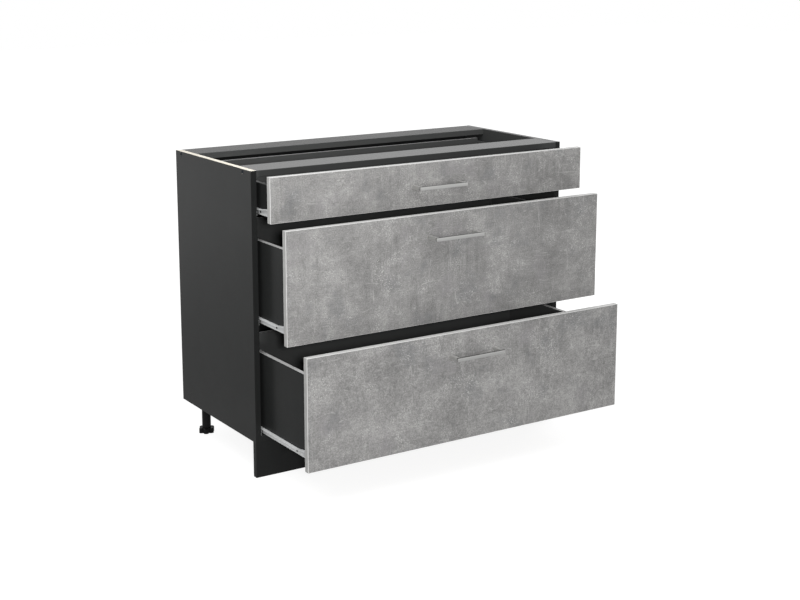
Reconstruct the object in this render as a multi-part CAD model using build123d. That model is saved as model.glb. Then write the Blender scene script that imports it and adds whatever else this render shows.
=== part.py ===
from build123d import *
import os
from dataclasses import dataclass
from math import cos, pi, sin

# Kitchen base cabinet with three drawers on roller runners. All sizes are in millimetres.
# Frame: +Z up, +Y towards the wall, +X to the right as seen from the front. The origin lies on the
# floor, in the middle of the cabinet's front plane. The drawers are modelled part-way out.

# Carcass boards
CABINET_WIDTH = 1000.0
CARCASS_HEIGHT = 720.0
CARCASS_DEPTH = 450.0
PLINTH_HEIGHT = 96.0
BOARD = 16.0
RAIL_DEPTH = 96.0
BACK_THICKNESS = 3.0
BACK_LAP = 10.0             # how far the back panel reaches into each side panel's rebate
BACK_EDGE_GAP = 0.5         # play between the back panel's edges and the rebate
EDGE_EASE = 0.6             # rounding of the carcass boards' front edges

# Drawer fronts
SIDE_REVEAL = 3.0           # from the cabinet's side to the end of a front
TOP_REVEAL = 4.0            # from the cabinet's top to the top front
BOTTOM_REVEAL = 2.0         # from the cabinet's underside to the bottom front
FRONT_GAP = 4.75            # between two fronts
TOP_FRONT_HEIGHT = 117.5
FRONT_THICKNESS = 16.0
FRONT_ROUND = 0.9           # rounding of the fronts' edging
CLOSED_GAP = 1.0            # between a closed front and the carcass

# How far each drawer stands out
TOP_OPENING = 80.5
MIDDLE_OPENING = 157.5
BOTTOM_OPENING = 255.5

# Drawer boxes
BOX_BOARD = 12.0
BOX_REAR_GAP = 7.0          # between the box and the back panel
TOP_SIDE_DROP = 29.5        # from a front's top edge down to the drawer side
DEEP_SIDE_DROP = 59.0
TOP_BACK_RISE = 8.0         # the drawer back stands this much above the sides
DEEP_BACK_RISE = 6.0
FLOOR_THICKNESS = 5.0       # drawer bottom panel
GROOVE_RISE = 10.0          # from the drawer side's underside to the groove
GROOVE_DEPTH = 6.0
GROOVE_PLAY = 0.2
GROOVE_END_GAP = 0.5

# Bar handles
HANDLE_LENGTH = 152.0
HANDLE_HEIGHT = 9.5
HANDLE_REACH = 40.0         # from the front's face to the bar's outer face
HANDLE_BAR = 6.0
HANDLE_LEG = 10.0
HANDLE_CORNER = 1.2
HANDLE_DROP = 62.0          # from a front's top edge to the bar's middle

# Roller runners
RUNNER_GAP = 12.5           # between the side panel and the drawer side
RUNNER_SHEET = 1.2
RUNNER_SETBACK = 1.0        # from the front to the drawer runner's front end
RUNNER_REAR_MARGIN = 39.0   # from the drawer runner's rear end to the box's rear
RUNNER_HEIGHT = 15.0
RUNNER_LIP = 8.3
RUNNER_FLANGE = 10.0
RAMP_RISE = 5.0             # the lip's front end lies higher, so that the drawer pulls itself shut
RAMP_START = 40.0
RAMP_END = 75.0
TOP_LIP_RISE = 22.0         # from the top front's lower edge to the runner's lip
CHANNEL_DROP = 1.8          # from the drawer runner's lip down to the channel
CHANNEL_HEIGHT = 15.0
CHANNEL_WIDTH = 10.2
CHANNEL_SETBACK = 2.0
CHANNEL_LIP_START = 24.0    # the channel's flanges leave room for the front roller
CHANNEL_FLOOR_GAP = 1.7     # between the lowest channel and the bottom panel
STOP_DEPTH = 4.0
STOP_TIP_GAP = 0.4          # from the stop tab to the channel's open side
RUNNER_OVERLAP = 90.0       # what stays in the cabinet at full travel, to the rear roller's axle

# Rollers and their axles
FRONT_ROLLER_SETBACK = 14.0
FRONT_ROLLER_WIDTH = 7.0
FRONT_ROLLER_PLAY = 0.8     # up and down, between lip and channel
REAR_ROLLER_INSET = 10.0    # from the drawer runner's rear end
REAR_ROLLER_WIDTH = 6.8
REAR_ROLLER_PLAY = 0.6
ROLLER_SIDE_PLAY = 0.7
ROLLER_ROUND = 0.8
AXLE_RADIUS = 2.5
AXLE_PLAY = 0.08
AXLE_HEAD_RADIUS = 3.6
AXLE_HEAD = 0.7
AXLE_HEAD_GAP = 0.2

# Legs
LEG_SIDE_INSET = 50.0       # from the cabinet's side to the leg's middle
LEG_REAR_INSET = 44.0
LEG_FRONT_INSET = 60.0
LEG_RADIUS = 12.5
LEG_END = 8.0               # height of the tube's lower end
SOCKET_PLATE = 60.0
SOCKET_PLATE_THICKNESS = 4.0
SOCKET_CORNER = 8.0
SOCKET_SLEEVE = 3.0         # wall of the sleeve
SOCKET_DEPTH = 16.0
SOCKET_PEG_RADIUS = 5.0
SOCKET_PEG_DEPTH = 11.0
SOCKET_PEG_SPACING = 32.0
SOCKET_PLAY = 0.1
FOOT_HEIGHT = 14.6
FOOT_FLOOR = 3.5            # thickness under the tube's end
FOOT_PLAY = 0.5
FOOT_WALL = 3.0
FOOT_LOBES = 6
FOOT_LOBE_RADIUS = 7.4
FOOT_LOBE_OUT = 15.4
FOOT_ROUND = 2.4
FOOT_FACETS = 3
STEM_RADIUS = 5.0
STEM_PLAY = 0.4
STEM_TOP = 62.0

# Plinth clips
CLIP_WALL = 3.0
CLIP_HEIGHT = 22.0
CLIP_MIDDLE = 48.0          # height of the clip's middle above the floor
CLIP_MOUTH = 18.0           # width of the ring's open side
CLIP_ARM = 8.0
CLIP_PAD = 40.0
CLIP_PAD_THICKNESS = 3.0

# Fasteners
FIT = 0.05                  # radial play of a fastener in its hole
SCREW_RADIUS = 1.9
SCREW_HEAD_RADIUS = 3.2
SCREW_HEAD = 1.0
RUNNER_SCREW_BITE = 10.0
RUNNER_SCREW_FRONT = 83.0   # from a drawer front to its first runner screw
RUNNER_SCREW_REAR = 70.0    # from the drawer runner's rear end to its second screw
CHANNEL_SCREW_FRONT = 37.0
CHANNEL_SCREW_REAR = 112.0
BOX_SCREW_SINK = 2.0
BOX_SCREW_BITE = 30.0
BOX_SCREW_INSET = 28.0      # from the drawer side's edges
HANDLE_SCREW_RADIUS = 2.0
HANDLE_SCREW_BITE = 10.0
HANDLE_SCREW_HEAD_RADIUS = 4.5
HANDLE_SCREW_HEAD = 2.5
RAIL_SCREW_RADIUS = 3.0
RAIL_SCREW_HEAD_RADIUS = 4.6
RAIL_SCREW_HEAD = 3.5
RAIL_SCREW_BITE = 34.0
RAIL_SCREW_FRONT = 45.0     # from the cabinet's front
RAIL_SCREW_REAR = 35.0      # from the cabinet's rear
CAP_RADIUS = 5.5
CAP_THICKNESS = 1.5
DOWEL_RADIUS = 4.0
DOWEL_IN_SIDE = 10.0
DOWEL_IN_BOARD = 20.0
RAIL_DOWEL_INSET = 20.0     # from a rail's inner edge
BOTTOM_DOWEL_INSET = 190.0  # from the cabinet's front and rear
CAM_RADIUS = 7.5
CAM_SLOT = 9.0
CAM_SLOT_WIDTH = 1.8
CAM_SLOT_DEPTH = 2.0
BOLT_RADIUS = 2.5
BOLT_BITE = 11.0
BOLT_PLAY = 0.3             # between the bolt's head and the cam's pocket
BOX_CAM_DEPTH = 9.5
BOX_CAM_SETBACK = 24.0
BOX_CAM_INSET = 26.0        # from the drawer side's edges
BOTTOM_CAM_DEPTH = 12.5
BOTTOM_CAM_INSET = 34.0     # from the bottom panel's ends
BOTTOM_CAM_SETBACK = 130.0  # from the cabinet's front and rear
PIN_RADIUS = 1.0
PIN_HEAD_RADIUS = 2.5
PIN_HEAD = 0.8
PIN_BITE = 20.0
PIN_INSET = 110.0           # from the cabinet's sides to the outer pins

# Places worked out from the sizes above
HALF_WIDTH = CABINET_WIDTH / 2
INNER_X = HALF_WIDTH - BOARD
BOX_OUTER_X = INNER_X - RUNNER_GAP
BOX_INNER_X = BOX_OUTER_X - BOX_BOARD
CARCASS_BASE = PLINTH_HEIGHT
CARCASS_TOP = CARCASS_BASE + CARCASS_HEIGHT
BACK_FACE = CARCASS_DEPTH - BACK_THICKNESS
FRONT_HALF_WIDTH = HALF_WIDTH - SIDE_REVEAL
DEEP_FRONT_HEIGHT = (CARCASS_HEIGHT - TOP_REVEAL - BOTTOM_REVEAL - 2 * FRONT_GAP - TOP_FRONT_HEIGHT) / 2
DEEP_LIP_RISE = BOARD - BOTTOM_REVEAL + CHANNEL_FLOOR_GAP + CHANNEL_HEIGHT + CHANNEL_DROP
BOTTOM_FRONT_BASE = CARCASS_BASE + BOTTOM_REVEAL
MIDDLE_FRONT_BASE = BOTTOM_FRONT_BASE + DEEP_FRONT_HEIGHT + FRONT_GAP
TOP_FRONT_BASE = MIDDLE_FRONT_BASE + DEEP_FRONT_HEIGHT + FRONT_GAP
BOX_LENGTH = BACK_FACE - BOX_REAR_GAP
RUNNER_REAR = BOX_LENGTH - RUNNER_REAR_MARGIN
RUNNER_LENGTH = RUNNER_REAR - RUNNER_SETBACK
REAR_ROLLER_Y = RUNNER_REAR - REAR_ROLLER_INSET
TRAVEL = REAR_ROLLER_Y - CLOSED_GAP - RUNNER_OVERLAP
RUNNER_WEB_X = BOX_OUTER_X + RUNNER_SHEET
CHANNEL_WEB_X = INNER_X - RUNNER_SHEET
FRONT_ROLLER_RADIUS = (CHANNEL_DROP + CHANNEL_HEIGHT - 2 * RUNNER_SHEET - FRONT_ROLLER_PLAY) / 2
REAR_ROLLER_RADIUS = (CHANNEL_HEIGHT - 2 * RUNNER_SHEET - REAR_ROLLER_PLAY) / 2
FRONT_ROLLER_DROP = (CHANNEL_DROP + CHANNEL_HEIGHT) / 2     # from the lip's top to the axle
REAR_ROLLER_DROP = CHANNEL_DROP + CHANNEL_HEIGHT / 2
LEG_X = HALF_WIDTH - LEG_SIDE_INSET
LEG_REAR_Y = CARCASS_DEPTH - LEG_REAR_INSET


@dataclass
class Drawer:
    """One drawer: where its front sits, how its box stands behind it and how far it is out."""
    name: str
    front_base: float
    front_height: float
    lip_rise: float
    side_drop: float
    back_rise: float
    opening: float

    @property
    def front_top(self):
        return self.front_base + self.front_height

    @property
    def lip_top(self):
        return self.front_base + self.lip_rise

    @property
    def side_base(self):
        return self.lip_top - RUNNER_HEIGHT + RUNNER_SHEET

    @property
    def side_top(self):
        return self.front_top - self.side_drop

    @property
    def groove_base(self):
        return self.side_base + GROOVE_RISE

    def heights(self, inset):
        """Two heights, an inset from the drawer side's lower and upper edge."""
        return (self.side_base + inset, self.side_top - inset)


DRAWERS = (
    Drawer("top", TOP_FRONT_BASE, TOP_FRONT_HEIGHT, TOP_LIP_RISE,
           TOP_SIDE_DROP, TOP_BACK_RISE, TOP_OPENING),
    Drawer("middle", MIDDLE_FRONT_BASE, DEEP_FRONT_HEIGHT, DEEP_LIP_RISE,
           DEEP_SIDE_DROP, DEEP_BACK_RISE, MIDDLE_OPENING),
    Drawer("bottom", BOTTOM_FRONT_BASE, DEEP_FRONT_HEIGHT, DEEP_LIP_RISE,
           DEEP_SIDE_DROP, DEEP_BACK_RISE, BOTTOM_OPENING),
)


# Basic shapes

def block(x0, x1, y0, y1, z0, z1):
    """A box between two corners."""
    middle = Pos((x0 + x1) / 2, (y0 + y1) / 2, (z0 + z1) / 2)
    return middle * Box(abs(x1 - x0), abs(y1 - y0), abs(z1 - z0))


def rod(radius, start, end):
    """A cylinder from one point to another."""
    axis = Vector(*end) - Vector(*start)
    seat = Plane(origin=start, z_dir=axis)
    return seat * Cylinder(radius, axis.length, align=(Align.CENTER, Align.CENTER, Align.MIN))


def screw(seat, tip, radius, head_radius, head):
    """A screw whose head stands on its seat and whose shank runs to its tip."""
    outward = (Vector(*seat) - Vector(*tip)).normalized()
    crown = Vector(*seat) + outward * head
    return rod(radius, seat, tip) + rod(head_radius, seat, tuple(crown))


def mirrored(solid):
    """The same piece on the cabinet's other side."""
    return solid.mirror(Plane.YZ)


def cut(solid, tools):
    """The solid with every tool taken away."""
    for tool in tools:
        solid = solid - tool
    return solid


# Places of the carcass fasteners, all on the right-hand side

def rail_places():
    """The middle of each rail screw's line: depth from the front and height."""
    height = CARCASS_TOP - BOARD / 2
    return ((RAIL_SCREW_FRONT, height), (CARCASS_DEPTH - RAIL_SCREW_REAR, height))


def dowel_places():
    """Depth and height of the dowels in the rails and in the bottom panel."""
    rail_height = CARCASS_TOP - BOARD / 2
    bottom_height = CARCASS_BASE + BOARD / 2
    return (
        (RAIL_DEPTH - RAIL_DOWEL_INSET, rail_height),
        (BACK_FACE - RAIL_DEPTH + RAIL_DOWEL_INSET, rail_height),
        (BOTTOM_DOWEL_INSET, bottom_height),
        (CARCASS_DEPTH - BOTTOM_DOWEL_INSET, bottom_height),
    )


def bottom_cam_places():
    return (BOTTOM_CAM_SETBACK, CARCASS_DEPTH - BOTTOM_CAM_SETBACK)


def channel_screw_places():
    return (CHANNEL_SCREW_FRONT, CHANNEL_SETBACK + RUNNER_LENGTH - CHANNEL_SCREW_REAR)


def leg_places():
    """Name and middle of each leg."""
    return (
        ("front_left", -LEG_X, LEG_FRONT_INSET),
        ("front_right", LEG_X, LEG_FRONT_INSET),
        ("rear_left", -LEG_X, LEG_REAR_Y),
        ("rear_right", LEG_X, LEG_REAR_Y),
    )


def pin_places():
    """Across the width and up the height: the back panel's pins in the rail and the bottom panel."""
    across = (PIN_INSET - HALF_WIDTH, 0.0, HALF_WIDTH - PIN_INSET)
    heights = (CARCASS_BASE + BOARD / 2, CARCASS_TOP - BOARD / 2)
    return [(x, z) for z in heights for x in across]


# Carcass fasteners and the holes that they need

def rail_screws(play=0.0):
    """Right-hand rail screws; with play, the tools that cut their holes."""
    seat = HALF_WIDTH - CAP_THICKNESS - RAIL_SCREW_HEAD
    return [
        screw((seat, y, z), (INNER_X - RAIL_SCREW_BITE, y, z),
              RAIL_SCREW_RADIUS + play, RAIL_SCREW_HEAD_RADIUS + play, RAIL_SCREW_HEAD)
        for y, z in rail_places()
    ]


def screw_caps(play=0.0):
    inner = HALF_WIDTH - CAP_THICKNESS
    return [rod(CAP_RADIUS + play, (inner, y, z), (HALF_WIDTH, y, z)) for y, z in rail_places()]


def dowels(play=0.0):
    """Right-hand dowels between the side panel and the boards that it carries."""
    outer = INNER_X + DOWEL_IN_SIDE
    inner = INNER_X - DOWEL_IN_BOARD
    return [rod(DOWEL_RADIUS + play, (inner, y, z), (outer, y, z)) for y, z in dowel_places()]


def bottom_cams(play=0.0):
    """Right-hand cams in the bottom panel's underside."""
    x = INNER_X - BOTTOM_CAM_INSET
    top = CARCASS_BASE + BOTTOM_CAM_DEPTH
    return [rod(CAM_RADIUS + play, (x, y, CARCASS_BASE), (x, y, top)) for y in bottom_cam_places()]


def bottom_bolts(play=0.0):
    """Right-hand bolts that run from the side panel into the cams."""
    inner = INNER_X - BOTTOM_CAM_INSET + BOLT_RADIUS
    z = CARCASS_BASE + BOARD / 2
    return [rod(BOLT_RADIUS + play, (inner, y, z), (INNER_X + BOLT_BITE, y, z))
            for y in bottom_cam_places()]


def slotted_bottom_cams():
    """The cams with their screwdriver slots and the pockets for the bolts."""
    x = INNER_X - BOTTOM_CAM_INSET
    half_slot = CAM_SLOT_WIDTH / 2
    slots = [block(x - CAM_SLOT / 2, x + CAM_SLOT / 2, y - half_slot, y + half_slot,
                   CARCASS_BASE, CARCASS_BASE + CAM_SLOT_DEPTH) for y in bottom_cam_places()]
    return [cut(cam, (slot, pocket))
            for cam, slot, pocket in zip(bottom_cams(), slots, bottom_bolts(BOLT_PLAY))]


def channel_screws(play=0.0):
    """Right-hand screws of all cabinet runners."""
    return [
        screw((CHANNEL_WEB_X, y, drawer.lip_top - REAR_ROLLER_DROP),
              (INNER_X + RUNNER_SCREW_BITE, y, drawer.lip_top - REAR_ROLLER_DROP),
              SCREW_RADIUS + play, SCREW_HEAD_RADIUS, SCREW_HEAD)
        for drawer in DRAWERS for y in channel_screw_places()
    ]


def back_pins(play=0.0):
    seat = CARCASS_DEPTH - PIN_HEAD
    return [screw((x, seat, z), (x, BACK_FACE - PIN_BITE, z),
                  PIN_RADIUS + play, PIN_HEAD_RADIUS + play, PIN_HEAD) for x, z in pin_places()]


def socket_pegs(play=0.0):
    """The moulded pegs that hold each leg socket in the bottom panel."""
    half = SOCKET_PEG_SPACING / 2
    return {
        name: [rod(SOCKET_PEG_RADIUS + play, (x, y + step, CARCASS_BASE),
                   (x, y + step, CARCASS_BASE + SOCKET_PEG_DEPTH)) for step in (-half, half)]
        for name, x, y in leg_places()
    }


# Carcass boards

def front_edges(board):
    """The long edges that bound a board's front face."""
    return board.faces().sort_by(Axis.Y)[0].edges()


def side_panel():
    """Right-hand side panel with the rebate for the back panel."""
    panel = block(INNER_X, HALF_WIDTH, 0, CARCASS_DEPTH, CARCASS_BASE, CARCASS_TOP)
    panel = fillet(front_edges(panel).filter_by(Axis.Z), EDGE_EASE)
    rebate = block(INNER_X, INNER_X + BACK_LAP, BACK_FACE, CARCASS_DEPTH, CARCASS_BASE, CARCASS_TOP)
    holes = rail_screws(FIT) + screw_caps(FIT) + dowels(FIT) + bottom_bolts(FIT) + channel_screws(FIT)
    return cut(panel, [rebate] + holes)


def bottom_panel():
    panel = block(-INNER_X, INNER_X, 0, BACK_FACE, CARCASS_BASE, CARCASS_BASE + BOARD)
    panel = fillet(front_edges(panel).filter_by(Axis.X), EDGE_EASE)
    holes = dowels(FIT) + bottom_cams(FIT) + bottom_bolts(FIT)
    pegs = [peg for pegs in socket_pegs(FIT).values() for peg in pegs]
    return cut(panel, holes + [mirrored(hole) for hole in holes] + pegs + back_pins(FIT))


def top_rail(front, rear):
    rail = block(-INNER_X, INNER_X, front, rear, CARCASS_TOP - BOARD, CARCASS_TOP)
    rail = fillet(front_edges(rail).filter_by(Axis.X), EDGE_EASE)
    holes = rail_screws(FIT) + dowels(FIT)
    return cut(rail, holes + [mirrored(hole) for hole in holes] + back_pins(FIT))


def back_panel():
    half = INNER_X + BACK_LAP - BACK_EDGE_GAP
    panel = block(-half, half, BACK_FACE, CARCASS_DEPTH,
                  CARCASS_BASE + BACK_EDGE_GAP, CARCASS_TOP - BACK_EDGE_GAP)
    return cut(panel, back_pins(FIT))


def plinth_panel():
    board = block(-HALF_WIDTH, HALF_WIDTH, 0, BOARD, 0, PLINTH_HEIGHT)
    return fillet(front_edges(board).filter_by(Axis.Z), EDGE_EASE)


# Legs and plinth clips

def leg_socket(x, y, pegs):
    """Square plate under the bottom panel, with a sleeve for the tube and two pegs."""
    plate_base = CARCASS_BASE - SOCKET_PLATE_THICKNESS
    half = SOCKET_PLATE / 2
    plate = block(x - half, x + half, y - half, y + half, plate_base, CARCASS_BASE)
    plate = fillet(plate.edges().filter_by(Axis.Z), SOCKET_CORNER)
    bore = LEG_RADIUS + SOCKET_PLAY
    sleeve_base = plate_base - SOCKET_DEPTH
    sleeve = rod(bore + SOCKET_SLEEVE, (x, y, sleeve_base), (x, y, plate_base))
    sleeve = sleeve - rod(bore, (x, y, sleeve_base), (x, y, plate_base))
    return plate + sleeve + pegs[0] + pegs[1]


def leg_tube(x, y):
    top = CARCASS_BASE - SOCKET_PLATE_THICKNESS
    tube = rod(LEG_RADIUS, (x, y, LEG_END), (x, y, top))
    return tube - rod(STEM_RADIUS + STEM_PLAY, (x, y, LEG_END), (x, y, top))


def foot_lobe(radius, x, y):
    """An upright disc of the foot's height, with its top edge rounded in FOOT_FACETS narrow cones."""
    flat = radius - FOOT_ROUND
    base = FOOT_HEIGHT - FOOT_ROUND
    turns = [pi / 2 * step / FOOT_FACETS for step in range(FOOT_FACETS + 1)]
    rim = [(x + flat + FOOT_ROUND * cos(turn), y, base + FOOT_ROUND * sin(turn)) for turn in turns]
    outline = [(x, y, 0), (x + radius, y, 0)] + rim + [(x, y, FOOT_HEIGHT)]
    return revolve(make_face(Polyline(outline, close=True)), Axis((x, y, 0), (0, 0, 1)))


def leg_foot(x, y):
    """Lobed foot with a cup round the tube's end and a stem that screws into the tube."""
    cup = LEG_RADIUS + FOOT_PLAY
    body = foot_lobe(cup + FOOT_WALL, x, y)
    for lobe in range(FOOT_LOBES):
        turn = 2 * pi * lobe / FOOT_LOBES
        lobe_x = x + FOOT_LOBE_OUT * cos(turn)
        lobe_y = y + FOOT_LOBE_OUT * sin(turn)
        body = body + foot_lobe(FOOT_LOBE_RADIUS, lobe_x, lobe_y)
    body = body - rod(cup, (x, y, FOOT_FLOOR), (x, y, FOOT_HEIGHT))
    return body + rod(STEM_RADIUS, (x, y, FOOT_FLOOR), (x, y, STEM_TOP))


def plinth_clip(x, y):
    """Open ring on a front leg, an arm and a pad on the plinth panel's rear face."""
    base = CLIP_MIDDLE - CLIP_HEIGHT / 2
    top = CLIP_MIDDLE + CLIP_HEIGHT / 2
    bore = LEG_RADIUS + SOCKET_PLAY
    outer = bore + CLIP_WALL
    ring = rod(outer, (x, y, base), (x, y, top))
    arm = block(x - CLIP_ARM / 2, x + CLIP_ARM / 2, BOARD, y, base, top)
    pad = block(x - CLIP_PAD / 2, x + CLIP_PAD / 2, BOARD, BOARD + CLIP_PAD_THICKNESS, base, top)
    mouth = block(x - CLIP_MOUTH / 2, x + CLIP_MOUTH / 2, y, y + outer, base, top)
    return cut(ring + arm + pad, (rod(bore, (x, y, base), (x, y, top)), mouth))


# Runners and rollers, built on the right-hand side

def cabinet_runner(drawer):
    """C channel on the side panel, with the stop tab that ends the drawer's travel."""
    top = drawer.lip_top - CHANNEL_DROP
    base = top - CHANNEL_HEIGHT
    tip = INNER_X - CHANNEL_WIDTH
    rear = CHANNEL_SETBACK + RUNNER_LENGTH
    web = block(CHANNEL_WEB_X, INNER_X, CHANNEL_SETBACK, rear, base, top)
    upper = block(tip, INNER_X, CHANNEL_LIP_START, rear, top - RUNNER_SHEET, top)
    lower = block(tip, INNER_X, CHANNEL_LIP_START, rear, base, base + RUNNER_SHEET)
    stop_face = RUNNER_OVERLAP - REAR_ROLLER_RADIUS - REAR_ROLLER_PLAY
    stop = block(tip + STOP_TIP_GAP, INNER_X, stop_face - RUNNER_SHEET, stop_face, top - STOP_DEPTH, top)
    return cut(web + upper + lower + stop, channel_screws(FIT))


def front_axle(drawer):
    """Rivet on the cabinet runner that carries the front roller."""
    z = drawer.lip_top - FRONT_ROLLER_DROP
    head = CHANNEL_WEB_X - ROLLER_SIDE_PLAY - FRONT_ROLLER_WIDTH - AXLE_HEAD_GAP
    y = FRONT_ROLLER_SETBACK
    shank = rod(AXLE_RADIUS, (CHANNEL_WEB_X, y, z), (head, y, z))
    return shank + rod(AXLE_HEAD_RADIUS, (head, y, z), (head - AXLE_HEAD, y, z))


def roller(radius, start, end):
    """A nylon wheel with rounded rims and a bore for its axle."""
    wheel = rod(radius, start, end)
    wheel = chamfer(wheel.edges().filter_by(GeomType.CIRCLE), ROLLER_ROUND)
    return wheel - rod(AXLE_RADIUS + AXLE_PLAY, start, end)


def front_roller(drawer):
    z = drawer.lip_top - FRONT_ROLLER_DROP
    outer = CHANNEL_WEB_X - ROLLER_SIDE_PLAY
    return roller(FRONT_ROLLER_RADIUS, (outer, FRONT_ROLLER_SETBACK, z),
                  (outer - FRONT_ROLLER_WIDTH, FRONT_ROLLER_SETBACK, z))


def drawer_runner(drawer):
    """Z profile: flange under the drawer side, web on its outer face and a lip that runs on the roller."""
    lip_top = drawer.lip_top
    base = lip_top - RUNNER_HEIGHT
    ramp_end = RUNNER_SETBACK + RAMP_END
    ramp_start = RUNNER_SETBACK + RAMP_START
    path = [(RUNNER_REAR, lip_top), (ramp_end, lip_top), (ramp_start, lip_top + RAMP_RISE),
            (RUNNER_SETBACK, lip_top + RAMP_RISE)]
    under = [(y, z - RUNNER_SHEET) for y, z in reversed(path)]
    web_outline = path + [(RUNNER_SETBACK, base), (RUNNER_REAR, base)]
    web = plate_along_x(web_outline, BOX_OUTER_X, RUNNER_WEB_X)
    lip = plate_along_x(path + under, BOX_OUTER_X, RUNNER_WEB_X + RUNNER_LIP)
    flange = block(BOX_OUTER_X - RUNNER_FLANGE, BOX_OUTER_X, RUNNER_SETBACK, RUNNER_REAR,
                   base, base + RUNNER_SHEET)
    return cut(web + lip + flange, runner_screws(drawer, FIT))


def plate_along_x(outline, x0, x1):
    """A plate between two X planes, with an outline of (y, z) points."""
    face = make_face(Polyline([(x0, y, z) for y, z in outline], close=True))
    return extrude(face, amount=x1 - x0, dir=(1, 0, 0))


def rear_axle(drawer):
    """Rivet on the drawer runner that carries the rear roller."""
    z = drawer.lip_top - REAR_ROLLER_DROP
    head = RUNNER_WEB_X + ROLLER_SIDE_PLAY + REAR_ROLLER_WIDTH + AXLE_HEAD_GAP
    shank = rod(AXLE_RADIUS, (RUNNER_WEB_X, REAR_ROLLER_Y, z), (head, REAR_ROLLER_Y, z))
    return shank + rod(AXLE_HEAD_RADIUS, (head, REAR_ROLLER_Y, z), (head + AXLE_HEAD, REAR_ROLLER_Y, z))


def rear_roller(drawer):
    z = drawer.lip_top - REAR_ROLLER_DROP
    inner = RUNNER_WEB_X + ROLLER_SIDE_PLAY
    outer = inner + REAR_ROLLER_WIDTH
    return roller(REAR_ROLLER_RADIUS, (inner, REAR_ROLLER_Y, z), (outer, REAR_ROLLER_Y, z))


# Drawers, built with the front's rear face at y = 0

def runner_screws(drawer, play=0.0):
    """Right-hand screws that hold the drawer runner on the drawer side."""
    z = (drawer.side_base + drawer.lip_top - RUNNER_SHEET) / 2
    places = (RUNNER_SCREW_FRONT, RUNNER_REAR - RUNNER_SCREW_REAR)
    return [screw((RUNNER_WEB_X, y, z), (BOX_OUTER_X - RUNNER_SCREW_BITE, y, z),
                  SCREW_RADIUS + play, SCREW_HEAD_RADIUS, SCREW_HEAD) for y in places]


def box_screws(drawer, play=0.0):
    """Right-hand screws through the drawer side into the drawer back, sunk flush."""
    y = BOX_LENGTH - BOX_BOARD / 2
    seat = BOX_OUTER_X - BOX_SCREW_SINK
    return [screw((seat, y, z), (BOX_INNER_X - BOX_SCREW_BITE, y, z),
                  SCREW_RADIUS + play, SCREW_HEAD_RADIUS + play, BOX_SCREW_SINK)
            for z in drawer.heights(BOX_SCREW_INSET)]


def box_cams(drawer, play=0.0):
    """Right-hand cams in the drawer side's inner face."""
    outer = BOX_INNER_X + BOX_CAM_DEPTH
    return [rod(CAM_RADIUS + play, (BOX_INNER_X, BOX_CAM_SETBACK, z), (outer, BOX_CAM_SETBACK, z))
            for z in drawer.heights(BOX_CAM_INSET)]


def box_bolts(drawer, play=0.0):
    """Right-hand bolts that run from the front into the cams."""
    x = BOX_OUTER_X - BOX_BOARD / 2
    rear = BOX_CAM_SETBACK - BOLT_RADIUS
    return [rod(BOLT_RADIUS + play, (x, -BOLT_BITE, z), (x, rear, z)) for z in drawer.heights(BOX_CAM_INSET)]


def slotted_box_cams(drawer):
    """The cams with their screwdriver slots and the pockets for the bolts."""
    y = BOX_CAM_SETBACK
    half_slot = CAM_SLOT_WIDTH / 2
    slots = [block(BOX_INNER_X, BOX_INNER_X + CAM_SLOT_DEPTH, y - CAM_SLOT / 2, y + CAM_SLOT / 2,
                   z - half_slot, z + half_slot) for z in drawer.heights(BOX_CAM_INSET)]
    return [cut(cam, (slot, pocket))
            for cam, slot, pocket in zip(box_cams(drawer), slots, box_bolts(drawer, BOLT_PLAY))]


def drawer_floor(drawer, play=0.0):
    """Bottom panel in the grooves; with play, the tool that cuts them."""
    half = BOX_INNER_X + GROOVE_DEPTH - GROOVE_END_GAP
    front = GROOVE_END_GAP - GROOVE_DEPTH
    top = drawer.groove_base + FLOOR_THICKNESS + play
    end_gap = GROOVE_END_GAP if play else 0.0
    return block(-half - end_gap, half + end_gap, front - end_gap, BOX_LENGTH, drawer.groove_base, top)


def drawer_side(drawer):
    """Right-hand drawer side."""
    board = block(BOX_INNER_X, BOX_OUTER_X, 0, BOX_LENGTH, drawer.side_base, drawer.side_top)
    holes = runner_screws(drawer, FIT) + box_screws(drawer, FIT)
    holes += box_cams(drawer, FIT) + box_bolts(drawer, FIT)
    return cut(board, holes + [drawer_floor(drawer, GROOVE_PLAY)])


def drawer_back(drawer):
    """Board between the sides that stands on the bottom panel."""
    base = drawer.groove_base + FLOOR_THICKNESS
    board = block(-BOX_INNER_X, BOX_INNER_X, BOX_LENGTH - BOX_BOARD, BOX_LENGTH,
                  base, drawer.side_top + drawer.back_rise)
    holes = box_screws(drawer, FIT)
    return cut(board, holes + [mirrored(hole) for hole in holes])


def drawer_front(drawer):
    """Front board with rounded edging, the groove for the bottom panel and its fitting holes."""
    board = block(-FRONT_HALF_WIDTH, FRONT_HALF_WIDTH, -FRONT_THICKNESS, 0,
                  drawer.front_base, drawer.front_top)
    board = fillet(board.edges(), FRONT_ROUND)
    bolts = box_bolts(drawer, FIT)
    holes = bolts + [mirrored(bolt) for bolt in bolts] + handle_screws(drawer, FIT)
    return cut(board, holes + [drawer_floor(drawer, GROOVE_PLAY)])


def handle_screw_x():
    return HANDLE_LENGTH / 2 - HANDLE_LEG / 2


def handle_screws(drawer, play=0.0):
    """Screws from inside the drawer through the front into the handle's legs."""
    z = drawer.front_top - HANDLE_DROP
    tip = -FRONT_THICKNESS - HANDLE_SCREW_BITE
    return [screw((x, 0, z), (x, tip, z), HANDLE_SCREW_RADIUS + play,
                  HANDLE_SCREW_HEAD_RADIUS, HANDLE_SCREW_HEAD) for x in (-handle_screw_x(), handle_screw_x())]


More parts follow.
